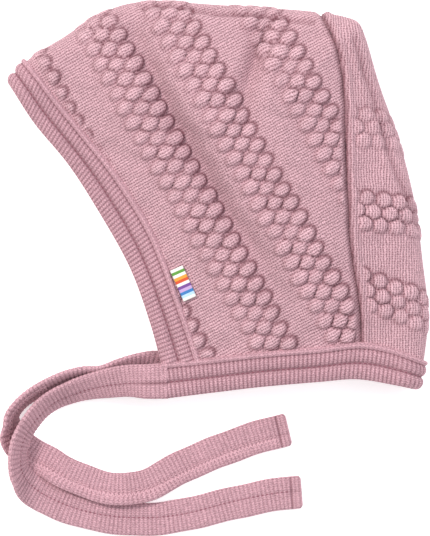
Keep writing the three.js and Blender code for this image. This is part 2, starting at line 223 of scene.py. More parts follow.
def fourSided(left, right, openEdge, foldEdge):
    def patch(s, t):
        s, t = np.broadcast_arrays(s, t)
        ss, tt = s[..., None], t[..., None]
        corners = [along(openEdge, 0.0), along(openEdge, 1.0), along(foldEdge, 0.0), along(foldEdge, 1.0)]
        sides = (1 - ss) * along(left, t) + ss * along(right, t)
        ends = (1 - tt) * along(openEdge, s) + tt * along(foldEdge, s)
        low = (1 - ss) * corners[0] + ss * corners[1]
        high = (1 - ss) * corners[2] + ss * corners[3]
        return sides + ends - (1 - tt) * low - tt * high
    return patch


def stripBetween(free, lip):
    def patch(s, t):
        s, t = np.broadcast_arrays(s, t)
        return (1 - s[..., None]) * along(free, t) + s[..., None] * along(lip, t)
    return patch


def shellGrid(patch, sVals, wVals):
    # w runs from 2 at the upper open edge over the fold at 0 to -2 at the lower open edge
    probeCount = 11
    probe = patch(sVals[None], np.linspace(0, 1, probeCount)[:, None])
    length = np.linalg.norm(np.diff(probe, axis=0), axis=2).sum(0)
    radius = np.minimum(shell["foldRadius"], shell["foldAtMost"] * length)
    w = wVals[:, None]
    turn = np.clip(w, -1, 1) * math.pi / 2
    straight = np.maximum(np.abs(w) - 1, 0) * (length - radius)
    inset = radius * (1 - np.cos(turn)) + straight
    plan = patch(np.broadcast_to(sVals, inset.shape), 1 - inset / length)
    upper, lower = upperHeight(plan), lowerHeight(plan)
    z = (upper + lower) / 2 + np.sin(turn) * (upper - lower) / 2
    middle = np.concatenate([plan, z[..., None]], axis=2)
    # the cloth's own flat coordinates carry on past the fold
    unrolled = np.where(w >= 1, inset, radius * (1 - (1 - np.clip(w, -1, 1)) * math.pi / 2) - straight)
    shortOfFold = 0.93
    ahead = patch(sVals, np.ones_like(sVals)) - patch(sVals, np.full_like(sVals, shortOfFold))
    ahead /= np.linalg.norm(ahead, axis=1)[:, None]
    cloth = patch(np.broadcast_to(sVals, inset.shape), 1 - np.maximum(unrolled, 0) / length)
    cloth = cloth + np.maximum(-unrolled, 0)[..., None] * ahead
    return middle, outwardNormals(middle, wVals), cloth


def outwardNormals(middle, wVals):
    normal = np.cross(np.gradient(middle, axis=0), np.gradient(middle, axis=1))
    normal /= np.linalg.norm(normal, axis=2)[..., None]
    wellAboveFold = wVals > 1.2
    return normal * np.sign(normal[wellAboveFold][..., 2].mean())


def stations(upperCount, foldCount, lowerCount):
    return np.concatenate([
        2 - np.arange(upperCount) / upperCount,
        1 - 2 * np.arange(foldCount) / foldCount,
        -1 - np.arange(lowerCount + 1) / lowerCount,
    ])


# Meshes

def meshObject(name, verts, faces, material, uv=None, shade=None):
    mesh = bpy.data.meshes.new(name)
    mesh.from_pydata(np.asarray(verts, float) * mm, [], faces)
    mesh.validate()
    if uv is not None:
        loops = np.empty(len(mesh.loops), np.int32)
        mesh.loops.foreach_get("vertex_index", loops)
        mesh.uv_layers.new(name="cloth").data.foreach_set("uv", np.asarray(uv, np.float32)[loops].ravel())
    if shade is not None:
        layer = mesh.attributes.new("shade", "FLOAT", "POINT")
        layer.data.foreach_set("value", np.asarray(shade, np.float32))
    mesh.polygons.foreach_set("use_smooth", np.ones(len(mesh.polygons), bool))
    mesh.materials.append(material)
    mesh.update()
    piece = bpy.data.objects.new(name, mesh)
    bpy.context.scene.collection.objects.link(piece)
    return piece


def facingOut(verts, quads):
    # turns all faces round if the closed body is inside out
    v = np.asarray(verts)
    q = np.asarray(quads)
    a, b, c, d = (v[q[:, i]] for i in range(4))
    volume = (a * np.cross(b, c)).sum() + (a * np.cross(c, d)).sum()
    return q[:, ::-1] if volume < 0 else q


def ringQuads(rows, count):
    i, j = np.meshgrid(np.arange(rows - 1), np.arange(count), indexing="ij")
    a = i * count + j
    b = i * count + (j + 1) % count
    return np.stack([a, b, b + count, a + count], axis=-1).reshape(-1, 4)


def ringMesh(name, rings, uv, shade, material):
    # rings of one section, closed at each end by quads across the section
    rows, count = rings.shape[:2]
    verts = rings.reshape(-1, 3)
    k = np.arange(count // 2 - 1)
    cap = np.stack([k, count - 1 - k, count - 2 - k, k + 1], axis=1)
    last = (rows - 1) * count
    quads = np.vstack([ringQuads(rows, count), cap, cap[:, ::-1] + last])
    faces = facingOut(verts, quads).tolist()
    return meshObject(name, verts, faces, material, uv.reshape(-1, 2), shade.ravel())


def wallMesh(name, outer, inner, cloth, shade, material):
    # a closed wall: each ring runs over the outside and back along the inside
    rings = np.concatenate([outer, inner[:, ::-1]], axis=1)
    uv = np.concatenate([cloth, cloth[:, ::-1]], axis=1)
    insideShade = np.full_like(shade, 0.75)
    return ringMesh(name, rings, uv, np.concatenate([shade, insideShade], axis=1), material)


def settleOnFloor(points, clearance=0.02):
    # nothing sinks into the floor
    points[..., 2] = np.maximum(points[..., 2], clearance)
    return points


# Materials

def linear(hexColour):
    # sRGB hex to the linear values that shaders take
    parts = [int(hexColour[i:i + 2], 16) / 255 for i in (1, 3, 5)]
    return tuple(c / 12.92 if c <= 0.04045 else ((c + 0.055) / 1.055) ** 2.4 for c in parts) + (1.0,)


def addNode(tree, kind, inputs=None, **settings):
    node = tree.nodes.new(kind)
    for key, value in settings.items():
        setattr(node, key, value)
    for key, value in (inputs or {}).items():
        if isinstance(value, bpy.types.NodeSocket):
            tree.links.new(value, node.inputs[key])
        else:
            node.inputs[key].default_value = value
    return node


def newMaterial(name):
    material = bpy.data.materials.new(name)
    material.use_nodes = True
    material.node_tree.nodes.clear()
    return material, material.node_tree


def maths(tree, operation, first, second=0.0):
    return addNode(tree, "ShaderNodeMath", {0: first, 1: second}, operation=operation).outputs[0]


def ranged(tree, value, low, high, toLow, toHigh):
    return addNode(tree, "ShaderNodeMapRange", {
        "Value": value, "From Min": low, "From Max": high, "To Min": toLow, "To Max": toHigh,
    }).outputs[0]


def noise(tree, size, output="Fac", detail=2.0, roughness=0.5):
    # soft noise with features about this many millimetres wide
    place = addNode(tree, "ShaderNodeTexCoord").outputs["Object"]
    return addNode(tree, "ShaderNodeTexNoise", {
        "Vector": place, "Scale": 1 / (size * mm), "Detail": detail, "Roughness": roughness,
    }).outputs[output]


def bumped(tree, height, strength, depth):
    return addNode(tree, "ShaderNodeBump", {
        "Height": height, "Strength": strength, "Distance": depth * mm,
    }).outputs[0]


# fine wool jersey: V-shaped loops in wales, soft and matt, with pale fibre flecks and painted shade, deep
# pink, in the gaps between loops
jersey = {
    "top": "#dab2bb", "gap": "#66343f", "walePitch": 1.2, "coursePitch": 1.0, "loopDepth": 0.42,
    "fleckSize": 0.55, "wander": 1.1, "wanderSize": 2.2, "patchSize": 22.0, "alongWale": True,
}
# the same wool in a tight rib: the ribs are modelled, so only the small loops on each rib are drawn; its
# gap colour is painted shade too
rib = {
    "top": "#cda3ad", "gap": "#5a2c38", "walePitch": 1.6, "coursePitch": 1.0, "loopDepth": 0.16,
    "fleckSize": 0.55, "wander": 0.5, "wanderSize": 2.2, "patchSize": 16.0, "alongWale": False,
}


def woolKnit(name, look):
    material, tree = newMaterial(name)
    uv = addNode(tree, "ShaderNodeUVMap", uv_map="cloth").outputs[0]
    # the loops wander a little
    wander = addNode(tree, "ShaderNodeVectorMath", {
        0: noise(tree, look["wanderSize"], "Color"), 1: (0.5, 0.5, 0.5),
    }, operation="SUBTRACT").outputs[0]
    uv = addNode(tree, "ShaderNodeVectorMath", {
        0: wander, 1: (look["wander"],) * 3, 2: uv,
    }, operation="MULTIPLY_ADD").outputs[0]
    axes = addNode(tree, "ShaderNodeSeparateXYZ", {0: uv})
    wale = maths(tree, "DIVIDE", axes.outputs[0], look["walePitch"])
    course = maths(tree, "DIVIDE", axes.outputs[1], look["coursePitch"])
    # 0 in the gap between wales, 0.5 on their middle
    leg = maths(tree, "PINGPONG", wale, 0.5)
    # the two legs of each loop slant to a V
    vee = maths(tree, "ADD", course, leg)
    wave = maths(tree, "SINE", maths(tree, "MULTIPLY", vee, 2 * math.pi))
    loops = maths(tree, "MULTIPLY_ADD", wave, 0.25)
    loops.node.inputs[2].default_value = 0.5
    fromGap = maths(tree, "MULTIPLY", leg, 2.0)
    ridge = maths(tree, "POWER", fromGap, 0.6)
    gap = maths(tree, "SUBTRACT", 1.0, fromGap)
    low = maths(tree, "SUBTRACT", 1.0, loops)
    hole = maths(tree, "MULTIPLY", low, gap if look["alongWale"] else 0.45)
    ridgeShare = 0.2 if look["alongWale"] else 0.0
    bed = maths(tree, "SUBTRACT", 1.0, maths(tree, "MULTIPLY", hole, 1.35))
    ridgePart = maths(tree, "MULTIPLY", ridge, ridgeShare)
    height = maths(tree, "ADD", ridgePart, maths(tree, "MULTIPLY", bed, 1 - ridgeShare))
    fleck = noise(tree, look["fleckSize"], detail=3.0, roughness=0.65)
    cloud = noise(tree, look["patchSize"])
    # the shade attribute brings painted shade and painted highlight from the mesh; where it is low, and in
    # the gaps between loops, the colour goes to the dark gap colour
    paintedShading = addNode(tree, "ShaderNodeAttribute", attribute_name="shade").outputs["Fac"]
    depth = maths(tree, "MULTIPLY", paintedShading, ranged(tree, height, 0.2, 0.85, 0.25, 1.0))
    colour = addNode(tree, "ShaderNodeMix", {
        "Factor": depth, "A": linear(look["gap"]), "B": linear(look["top"]),
    }, data_type="RGBA").outputs["Result"]
    light = ranged(tree, fleck, 0.3, 0.7, 0.6, 1.4)
    drift = ranged(tree, cloud, 0.3, 0.7, 0.96, 1.04)
    colour = addNode(tree, "ShaderNodeVectorMath", {
        0: colour, "Scale": maths(tree, "MULTIPLY", light, drift),
    }, operation="SCALE").outputs[0]
    relief = maths(tree, "ADD", height, maths(tree, "MULTIPLY", fleck, 0.35))
    wool = addNode(tree, "ShaderNodeBsdfPrincipled", {
        "Base Color": colour, "Normal": bumped(tree, relief, 0.75, look["loopDepth"]),
        "Roughness": 0.94, "Specular IOR Level": 0.22,
        "Sheen Weight": 0.28, "Sheen Roughness": 0.45, "Sheen Tint": linear("#e9c9d0"),
    })
    addNode(tree, "ShaderNodeOutputMaterial", {"Surface": wool.outputs[0]})
    return material


# spun polyester thread, a touch smoother than the wool, with a fine twist
def sewingThread(name, hexColour):
    material, tree = newMaterial(name)
    gain = ranged(tree, noise(tree, 0.35), 0.3, 0.7, 0.85, 1.1)
    colour = addNode(tree, "ShaderNodeVectorMath", {
        0: linear(hexColour)[:3], "Scale": gain,
    }, operation="SCALE")
    thread = addNode(tree, "ShaderNodeBsdfPrincipled", {
        "Base Color": colour.outputs[0], "Roughness": 0.7, "Specular IOR Level": 0.3, "Sheen Weight": 0.1,
    })
    addNode(tree, "ShaderNodeOutputMaterial", {"Surface": thread.outputs[0]})
    return material


# woven polyester ribbon: flat bars of colour with a fine crosswise weave and a slight gloss
ribbonBars = [
    "#f3efe9", "#5f9c3c", "#f3efe9", "#e9a13b", "#d8542f", "#f3efe9", "#7a4a9a", "#c7a7d6", "#3c7fc0",
    "#bcdcf0", "#f3efe9",
]


def wovenRibbon(name):
    material, tree = newMaterial(name)
    uv = addNode(tree, "ShaderNodeUVMap", uv_map="cloth").outputs[0]
    axes = addNode(tree, "ShaderNodeSeparateXYZ", {0: uv})
    ramp = addNode(tree, "ShaderNodeValToRGB", {"Fac": axes.outputs[0]})
    bars = ramp.color_ramp
    bars.interpolation = "CONSTANT"
    for i, hexColour in enumerate(ribbonBars):
        stop = bars.elements[i] if i < 2 else bars.elements.new(1.0)
        stop.position = i / len(ribbonBars)
        stop.color = linear(hexColour)
    weave = addNode(tree, "ShaderNodeTexWave", {
        "Vector": uv, "Scale": 12.0, "Distortion": 0.4,
    }, bands_direction="Y").outputs["Fac"]
    cloth = addNode(tree, "ShaderNodeBsdfPrincipled", {
        "Base Color": ramp.outputs[0], "Normal": bumped(tree, weave, 0.5, 0.06),
        "Roughness": 0.55, "Specular IOR Level": 0.4, "Sheen Weight": 0.1,
    })
    addNode(tree, "ShaderNodeOutputMaterial", {"Surface": cloth.outputs[0]})
    return material


# matt white paper on a light table: it glows a little, so shadows stay pale
def studioPaper(name):
    material, tree = newMaterial(name)
    paper = addNode(tree, "ShaderNodeBsdfPrincipled", {
        "Base Color": linear("#fbfafa"), "Normal": bumped(tree, noise(tree, 1.5), 0.05, 0.05),
        "Roughness": 0.9, "Specular IOR Level": 0.1,
        "Emission Color": (1, 1, 1, 1), "Emission Strength": 0.42,
    })
    addNode(tree, "ShaderNodeOutputMaterial", {"Surface": paper.outputs[0]})
    return material


bubbleWool = woolKnit("merino_jersey", jersey)
ribWool = woolKnit("merino_rib", rib)
paleThread = sewingThread("polyester_thread_pale", "#dcb0ba")
deepThread = sewingThread("polyester_thread_deep", "#8c5462")
ribbonCloth = wovenRibbon("woven_ribbon")
print("materials made")

# Camera and light
view = {
    "mmPerPixel": 0.43, "image": (430, 536), "originPixel": (218.0, 195.5),
    "lens": 500.0, "sensor": 36.0,
    "focusHeight": 10.0,  # the photo's scale holds at this height
}


def makeCamera():
    wide, high = view["image"]
    x = (wide / 2 - view["originPixel"][0]) * view["mmPerPixel"] + ox
    y = (view["originPixel"][1] - high / 2) * view["mmPerPixel"] + oy
    distance = high * view["mmPerPixel"] * view["lens"] / view["sensor"]
    data = bpy.data.cameras.new("camera")
    data.lens, data.sensor_width, data.sensor_fit = view["lens"], view["sensor"], "AUTO"
    camera = bpy.data.objects.new("camera", data)
    camera.location = (x * mm, y * mm, (view["focusHeight"] + distance) * mm)
    bpy.context.scene.collection.objects.link(camera)
    bpy.context.scene.camera = camera


lamps = [
    {"name": "key", "kind": "SUN", "place": (-0.62, 0.5, 1.0),
     "spread": 0.2, "power": 2.2, "tint": "#fff9f5"},
    {"name": "fill", "kind": "SUN", "place": (0.7, 0.2, 1.3),
     "spread": 0.9, "power": 1.15, "tint": "#f6f8ff"},
]
skyStrength = 0.56


def makeLight():
    for lamp in lamps:
        data = bpy.data.lights.new(lamp["name"], lamp["kind"])
        data.angle, data.energy, data.color = lamp["spread"], lamp["power"], linear(lamp["tint"])[:3]
        light = bpy.data.objects.new(lamp["name"], data)
        light.location = lamp["place"]
        light.rotation_mode = "QUATERNION"
        light.rotation_quaternion = (-Vector(lamp["place"])).to_track_quat("-Z", "Y")
        bpy.context.scene.collection.objects.link(light)
    world = bpy.data.worlds.new("studio")
    world.use_nodes = True
    sky = world.node_tree.nodes["Background"]
    sky.inputs["Color"].default_value = (1, 1, 1, 1)
    sky.inputs["Strength"].default_value = skyStrength
    bpy.context.scene.world = world
    bpy.context.scene.view_settings.view_transform = "Standard"


def makeFloor():
    half = 1500.0
    drop = -0.15
    corners = [(-half, -half, drop), (half, -half, drop), (half, half, drop), (-half, half, drop)]
    meshObject("floor", corners, [(0, 1, 2, 3)], studioPaper("studio_paper"))


makeCamera()
makeLight()
makeFloor()
print("camera, light and floor made")

# Ties: the strap's middle and how many degrees its right-hand edge leans up, looking ahead
tie = {
    "width": 14.3, "thick": 3.0, "step": 0.26, "ribPitch": 1.8, "ribDepth": 0.42,
    "hem": 4.4, "hemHalf": 0.5, "hemDepth": 0.45, "grooveDepth": 0.35, "grooveHalf": 0.5,
    "nearGrooveAt": -0.6, "farGrooveAt": 1.6,
    "rootStart": 4.0, "rootLength": 15.0, "rootWider": 0.5, "rootThicker": 1.7,
    "sectionPoints": 31, "squareness": 7,  # the section is a flat oval, squarer for a larger number
}
nearTieRoute = [
    (-21.4, -79.8, 17.5, 0), (-30, -79.9, 17, 4), (-36.5, -79.8, 15.2, 12), (-43, -80.2, 12.8, 22),
    (-49.9, -81, 10.6, 32), (-56.8, -82.6, 9, 42), (-63.6, -84.8, 8.2, 50), (-70, -87.5, 8, 55),
    (-75.1, -91.2, 8.6, 58), (-79.3, -95.8, 10, 60), (-82.8, -100.8, 11.4, 61), (-85.2, -106.2, 12, 62),
    (-86.2, -111.8, 11.8, 62), (-86, -117.2, 10.8, 58), (-84.2, -121.7, 8.4, 44), (-80.1, -126.3, 4.2, 18),
    (-73.9, -130.1, 2, 3), (-65.6, -133.9, 1.7, 0), (-55.9, -136.9, 1.6, 0), (-44.7, -138.8, 1.6, 0),
    (-33.1, -139.4, 1.6, 0), (-21.5, -138.8, 1.6, 0), (-11.6, -137.1, 1.6, 0), (-2.1, -134.7, 1.6, 0),
    (7.7, -132.1, 1.6, 0), (18.1, -130, 1.6, 0), (27.5, -128.5, 1.6, 0), (36.1, -127.8, 1.6, 0),
]
farTieRoute = [
    (-17, -77.5, 3.2, 6), (-23, -74.6, 4, 20), (-29, -72.8, 5.2, 38), (-35.6, -73, 6.4, 50),
    (-42.7, -74.4, 7.3, 58), (-50.6, -77, 7.6, 61), (-58.4, -77.2, 7.8, 63), (-65.4, -78.9, 7.9, 64),
    (-71.8, -81.9, 7.8, 63), (-79.5, -85.4, 7.8, 70), (-84.7, -89.3, 7.9, 73), (-88.3, -93.9, 7.8, 72),
    (-88.9, -99.2, 7, 60), (-88.1, -104.3, 4.6, 28), (-83.4, -108.8, 1.8, 0), (-78.8, -112, 1.8, 0),
    (-73, -115, 3, 9), (-67.4, -118.4, 4.6, 14), (-60, -122, 5, 14), (-51.6, -125, 5, 14),
    (-44.7, -126.2, 5, 14), (-37.8, -126.1, 4.8, 13), (-30.5, -124.5, 4.4, 11), (-22.8, -120.9, 3.2, 7),
    (-15.9, -117.2, 2, 2), (-7.3, -113.3, 1.6, 0), (1.3, -109.6, 1.6, 0), (10.3, -106.2, 1.6, 0),
    (19.8, -103.4, 1.6, 0), (30.5, -100.8, 1.6, 0),
]


def ribWave(run, pitch):
    # rounded ribs with narrow gaps: 0 in a gap, 1 on a rib
    return np.abs(np.sin(math.pi * run / pitch)) ** 0.65


def tieFrames(route):
    line = spline(np.array(route, float) + (ox, oy, 0, 0), perSpan=20)
    place = line[:, :3]
    run = lengthsAlong(place)
    at = np.linspace(0, run[-1], int(run[-1] / tie["step"]) + 1)
    middle = np.stack([np.interp(at, run, place[:, i]) for i in range(3)], axis=1)
    lean = np.radians(np.interp(at, run, line[:, 3]))[:, None]
    ahead = np.gradient(middle, axis=0)
    ahead /= np.linalg.norm(ahead, axis=1)[:, None]
    right = np.cross(ahead, (0, 0, 1))
    right /= np.linalg.norm(right, axis=1)[:, None]
    top = np.cross(right, ahead)
    across = right * np.cos(lean) + top * np.sin(lean)
    off = top * np.cos(lean) - right * np.sin(lean)
    return at, middle, ahead, across, off


def tieStrap(name, route, grooveAt):
    at, middle, ahead, across, off = tieFrames(route)
    # the strap grows out of the binding's end, thicker and a little wider there
    root = (1 - smooth((at - tie["rootStart"]) / tie["rootLength"]))[:, None]
    half = tie["width"] / 2 + tie["rootWider"] * root
    thick = tie["thick"] / 2 + tie["rootThicker"] * root
    # section: over the top from left to right, and back underneath
    share = np.sin(np.linspace(-1, 1, tie["sectionPoints"]) * math.pi / 2 * 0.999)
    rim = np.sqrt(np.maximum(1 - np.abs(share) ** tie["squareness"], 0))
    total = at[-1]
    ribs = ribWave(at, tie["ribPitch"])[:, None]
    hem = bell(at - (total - tie["hem"]), tie["hemHalf"])[:, None]
    wobble = (0.18 * np.sin(at / 7.3) + 0.14 * np.sin(at / 3.1 + 1.3))[:, None]
    groove = bell(share * half - grooveAt, tie["grooveHalf"]) * (1 + 2.2 * root)
    lift = (thick - tie["ribDepth"] * (1 - ribs) * (0.45 + 0.55 * rim)) * rim
    lift = lift - (tie["grooveDepth"] * groove + tie["hemDepth"] * hem) * rim
    reach = share * half * (1 + 0.006 * (ribs - 1)) + wobble * np.abs(share)
    plan = middle[:, None] + across[:, None] * reach[..., None]
    rise = off[:, None] * lift[..., None]
    body = settleOnFloor(np.concatenate([plan + rise, (plan - rise)[:, ::-1]], axis=1))
    # painted shade: darker in the gaps between ribs, along the groove and at the hem
    paintedShading = (0.56 + 0.44 * ribs) * np.clip(1 - 0.22 * groove, 0.3, 1) * (1 - 0.4 * hem)
    # the end is folded under: the last rings draw in to a soft edge
    close = np.sqrt(np.clip(total - at, 0.05, 1))[:, None, None]
    body = middle[:, None] + (body - middle[:, None]) * (0.75 + 0.25 * close)
    acrossStrap = np.concatenate([share, share[::-1]]) * tie["width"] / 2
    uv = np.stack(np.broadcast_arrays(at[:, None], acrossStrap), axis=-1)
    strap = ringMesh(name + "_strap", body, uv, np.concatenate([paintedShading, paintedShading[:, ::-1]], axis=1), ribWool)
    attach(strap, "root")
    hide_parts(name)
    return at, middle, ahead, across, off


nearTie = tieStrap("tie_near", nearTieRoute, tie["nearGrooveAt"])
farTie = tieStrap("tie_far", farTieRoute, tie["farGrooveAt"])
print("ties made")

# Stitches: one row of points with the way ahead and up, each turned into a thread stitch
def stitchTree():
    tree = bpy.data.node_groups.new("stitch_row", "GeometryNodeTree")
    for label, kind in (
        ("Geometry", "NodeSocketGeometry"), ("Stitch Length", "NodeSocketFloat"),
        ("Thread Radius", "NodeSocketFloat"), ("Thread", "NodeSocketMaterial"),
    ):
        tree.interface.new_socket(label, in_out="INPUT", socket_type=kind)
    tree.interface.new_socket("Geometry", in_out="OUTPUT", socket_type="NodeSocketGeometry")
    start = addNode(tree, "NodeGroupInput")
    points = addNode(tree, "GeometryNodeMeshToPoints", {"Mesh": start.outputs["Geometry"]})
    ball = addNode(tree, "GeometryNodeMeshUVSphere", {"Segments": 8, "Rings": 5, "Radius": 1.0})
    size = addNode(tree, "ShaderNodeCombineXYZ", {
        "X": start.outputs["Stitch Length"], "Y": start.outputs["Thread Radius"],
        "Z": start.outputs["Thread Radius"],
    })
    loop = addNode(tree, "GeometryNodeTransform", {
        "Geometry": ball.outputs["Mesh"], "Scale": size.outputs[0],
    })
    up = addNode(tree, "GeometryNodeInputNamedAttribute", {"Name": "up"}, data_type="FLOAT_VECTOR")
    ahead = addNode(tree, "GeometryNodeInputNamedAttribute", {"Name": "ahead"}, data_type="FLOAT_VECTOR")
    turn = addNode(tree, "FunctionNodeAxesToRotation", {
        "Primary Axis": up.outputs["Attribute"], "Secondary Axis": ahead.outputs["Attribute"],
    }, primary_axis="Z", secondary_axis="X")
    row = addNode(tree, "GeometryNodeInstanceOnPoints", {
        "Points": points.outputs[0], "Instance": loop.outputs[0], "Rotation": turn.outputs[0],
    })
    whole = addNode(tree, "GeometryNodeRealizeInstances", {"Geometry": row.outputs[0]})
    sewn = addNode(tree, "GeometryNodeSetMaterial", {
        "Geometry": whole.outputs[0], "Material": start.outputs["Thread"],
    })
    addNode(tree, "NodeGroupOutput", {"Geometry": sewn.outputs[0]})
    return tree


stitchRow = stitchTree()


def sewRow(name, points, ahead, up, thread, length, radius):
    mesh = bpy.data.meshes.new(name)
    mesh.from_pydata(np.asarray(points, float) * mm, [], [])
    for label, vectors in (("ahead", ahead), ("up", up)):
        layer = mesh.attributes.new(label, "FLOAT_VECTOR", "POINT")
        layer.data.foreach_set("vector", np.asarray(vectors, np.float32).ravel())
    rowObject = bpy.data.objects.new(name, mesh)
    bpy.context.scene.collection.objects.link(rowObject)
    modifier = rowObject.modifiers.new("stitches", "NODES")
    modifier.node_group = stitchRow
    values = {"Stitch Length": length / 2 * mm, "Thread Radius": radius * mm, "Thread": thread}
    for item in stitchRow.interface.items_tree:
        if item.in_out == "INPUT" and item.name in values:
            modifier[item.identifier] = values[item.name]
    depsgraph = bpy.context.evaluated_depsgraph_get()
    sewn = bpy.data.meshes.new_from_object(rowObject.evaluated_get(depsgraph))
    rowObject.modifiers.clear()
    rowObject.data = sewn
    sewn.polygons.foreach_set("use_smooth", np.ones(len(sewn.polygons), bool))
    if not sewn.materials:
        sewn.materials.append(thread)
    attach(rowObject, "root")


def spacedRows(run, spacing, start, end):
    # indices of the stations nearest to even spacing along a run
    return np.searchsorted(run, np.arange(start, run[-1] - end, spacing))


tieStitch = {"spacing": 2.1, "length": 1.15, "radius": 0.28, "sink": 0.42, "from": 4, "toEnd": 5}
# on the lower tie, past its first stretch
coverStitch = {
    "spacing": 0.85, "length": 2.3, "radius": 0.23, "sink": 0.12, "at": 3.1, "slant": 0.55,
    "from": 60, "toEnd": 6,
}
chainStitch = {"spacing": 1.6, "length": 1.7, "radius": 0.2, "sink": 0.1, "at": (1.6, 4.5)}


def sewTies():
    at, middle, ahead, across, off = nearTie
    pick = spacedRows(at, tieStitch["spacing"], tieStitch["from"], tieStitch["toEnd"])
    lift = tie["thick"] / 2 - tieStitch["sink"]
    spots = middle[pick] + across[pick] * tie["nearGrooveAt"] + off[pick] * lift
    sewRow(
        "tie_near_stitches", spots, ahead[pick], off[pick],
        deepThread, tieStitch["length"], tieStitch["radius"],
    )
    # the lower tie lies wrong side up and shows its cover stitch
    at, middle, ahead, across, off = farTie
    pick = spacedRows(at, coverStitch["spacing"], coverStitch["from"], coverStitch["toEnd"])
    sign = np.where(np.arange(len(pick)) % 2 == 0, 1.0, -1.0)[:, None]
    slanted = across[pick] + sign * coverStitch["slant"] * ahead[pick]
    lift = tie["thick"] / 2 - coverStitch["sink"]
    spots = middle[pick] + across[pick] * coverStitch["at"] + off[pick] * lift
    sewRow(
        "tie_far_cover_stitch", spots, slanted, off[pick], paleThread, coverStitch["length"],
        coverStitch["radius"],
    )
    pick = spacedRows(at, chainStitch["spacing"], coverStitch["from"], coverStitch["toEnd"])
    lift = tie["thick"] / 2 - chainStitch["sink"]
    chains = [middle[pick] + across[pick] * c + off[pick] * lift for c in chainStitch["at"]]
    sewRow(
        "tie_far_chain_stitch", np.vstack(chains), np.vstack([ahead[pick]] * 2), np.vstack([off[pick]] * 2),
        paleThread, chainStitch["length"], chainStitch["radius"],
    )


sewTies()
print("tie stitches made")

# Bindings: two ribbed rolls with a stitched groove between them and a thin lip against the panel
binding = {
    "ribPitch": 1.85, "ribDepth": 0.6, "step": 0.27, "farStep": 0.54, "foldSteps": 54,
    "grooveAt": 6.7, "grooveHalf": 0.55, "ribsStopHalf": 0.5,
    "lipFrom": 12.5, "lipGapAt": 12.4, "lipGapHalf": 0.4,
    "stitchSpacing": 2.2, "stitchLength": 1.3, "stitchRadius": 0.26, "stitchInset": 2,
}
# the section: distance from the free edge and height over the middle
bindingOuter = np.array([
    (0, 0), (0.12, 0.75), (0.5, 1.5), (1.1, 2.15), (1.9, 2.65), (2.9, 3.0), (3.9, 3.1), (4.9, 2.95),
    (5.7, 2.6), (6.2, 2.0), (6.5, 1.6), (6.7, 1.5), (6.9, 1.6), (7.2, 2.0), (7.7, 2.5), (8.6, 2.9),
    (9.7, 3.1), (10.8, 3.0), (11.6, 2.75), (12.1, 2.35), (12.4, 2.2), (12.7, 2.4), (13.2, 2.85),
    (13.9, 3.0), (14.5, 2.8), (14.9, 2.2), (15, 1.4),
])
bindingInner = np.array([
    (15, -1.5), (14.4, -2.5), (12.6, -3.1), (9, -2.9), (7, -2.6), (4.5, -3.0), (2.6, -3.1), (1.2, -2.3),
    (0.4, -1.2),
])


def bindingBand(name, free, lip, lean):
    section = np.vstack([bindingOuter, bindingInner])
    across, lift = section[:, 0], section[:, 1]
    onTop = lift > 0
    fromMiddle = across - shell["bandWidth"] / 2
    fromGroove = across - binding["grooveAt"]
    upperRun = lengthsAlong(subLine(free, 0, 1))[-1]
    upperRows = int(upperRun / binding["step"])
    lowerRows = int(upperRun / binding["farStep"])
    wVals = stations(upperRows, binding["foldSteps"], lowerRows)
    shares, order = np.unique(across / shell["bandWidth"], return_inverse=True)
    middle, normal, _ = shellGrid(stripBetween(free, lip), shares, wVals)
    middle, normal = middle[:, order], normal[:, order]
    centre = middle[:, int(np.argmin(np.abs(fromMiddle)))]
    run = lengthsAlong(centre)
    # ribs cross the band, leaning a little along it
    phase = run[:, None] + lean * fromMiddle
    ribs = ribWave(phase, binding["ribPitch"])
    quiet = 1 - bell(fromGroove, binding["ribsStopHalf"])
    # the lip is nearly smooth
    quiet = quiet * np.where((across > binding["lipFrom"]) & onTop, 0.3, 1.0)
    inward = np.sign(lift) * np.minimum(np.abs(lift) / 1.5, 1)
    ripple = 0.12 * np.sin(run / 5.1) + 0.1 * np.sin(run / 2.3 + 0.7)
    off = lift - inward * binding["ribDepth"] * (1 - ribs) * quiet
    body = settleOnFloor(middle + normal * (off + ripple[:, None] * 0.5)[..., None])
    groove = bell(fromGroove, binding["grooveHalf"]) * onTop
    lipGap = bell(across - binding["lipGapAt"], binding["lipGapHalf"]) * onTop
    # painted shade: darker in the gaps between ribs, in the stitched groove and in the gap under the lip
    paintedShading = (1 - 0.72 * (1 - ribs) * quiet) * (1 - 0.55 * groove) * (1 - 0.4 * lipGap)
    # the inside takes its loops from another part of the pattern
    insideShift = 20.0
    uv = np.stack(np.broadcast_arrays(phase, across + insideShift * (lift < 0)), axis=-1)
    piece = ringMesh(name + "_rib", body, uv, paintedShading, ribWool)
    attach(piece, "root")
    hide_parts(name)
    # stitches lie in the groove
    column = int(np.argmin(np.abs(bindingOuter[:, 0] - binding["grooveAt"])))
    pick = spacedRows(run, binding["stitchSpacing"], binding["stitchInset"], binding["stitchInset"])
    ahead = np.gradient(centre, axis=0)[pick]
    spots = settleOnFloor(body[pick, column] + normal[pick, column] * 0.06, clearance=0.4)
    sewRow(
        name + "_stitches", spots, ahead, normal[pick, column], deepThread, binding["stitchLength"],
        binding["stitchRadius"],
    )


bindingBand("face_band", faceFree, faceLip, -0.26)
bindingBand("neck_band", neckFree, neckLip, 0.12)
print("bindings made")

# Bubble stitch: bands of small puffed diamonds, three columns set half a step apart
bubbles = {
    "pitch": 7.15, "column": 5.5, "rise": 2.0, "crevice": 0.6, "reach": 3.6, "creviceHalf": 0.75,
    "domeReach": 4.6, "gainSpread": 0.25,
}
